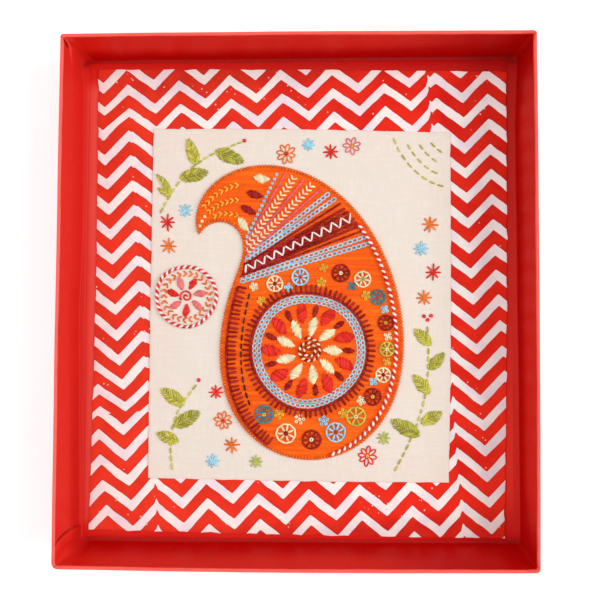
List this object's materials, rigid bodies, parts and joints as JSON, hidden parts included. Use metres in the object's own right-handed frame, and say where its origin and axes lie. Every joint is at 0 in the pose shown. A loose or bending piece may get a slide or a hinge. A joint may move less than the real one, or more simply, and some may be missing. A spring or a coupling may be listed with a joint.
{
  "type": "appliqued embroidery and its tray frame",
  "caption": "Shallow upright-walled tray frame holding a flat applique embroidery on a cream ground cloth over zigzag-printed cotton, for display on a wall or shelf.",
  "frame": {"origin": "middle of the underside of the tray's box, on the surface that the back rests on", "axes": "+X to the picture's right, +Y to its top edge, +Z out of its face"},
  "size_m": [0.3008, 0.3342, 0.042],
  "materials": {
    "red_paper": "card covered in smooth red paper, satin",
    "board_paper": "card covered in smooth red paper, satin",
    "printed_cotton": "plain-weave cotton, block-printed in red and white zigzags",
    "cream_cotton": "plain-weave cream cotton, matt",
    "orange_cloth": "slubbed orange cloth with stranded-thread stitching, soft sheen"
  },
  "bodies": {
    "root": {"tray_base": "red_paper", "wall_left": "red_paper", "wall_right": "red_paper", "wall_top": "red_paper", "wall_bottom": "red_paper", "inset_board": "board_paper", "chevron_cloth": "printed_cotton", "ground_cloth": "cream_cotton", "motif_applique": "orange_cloth"}
  },
  "joints": []
}
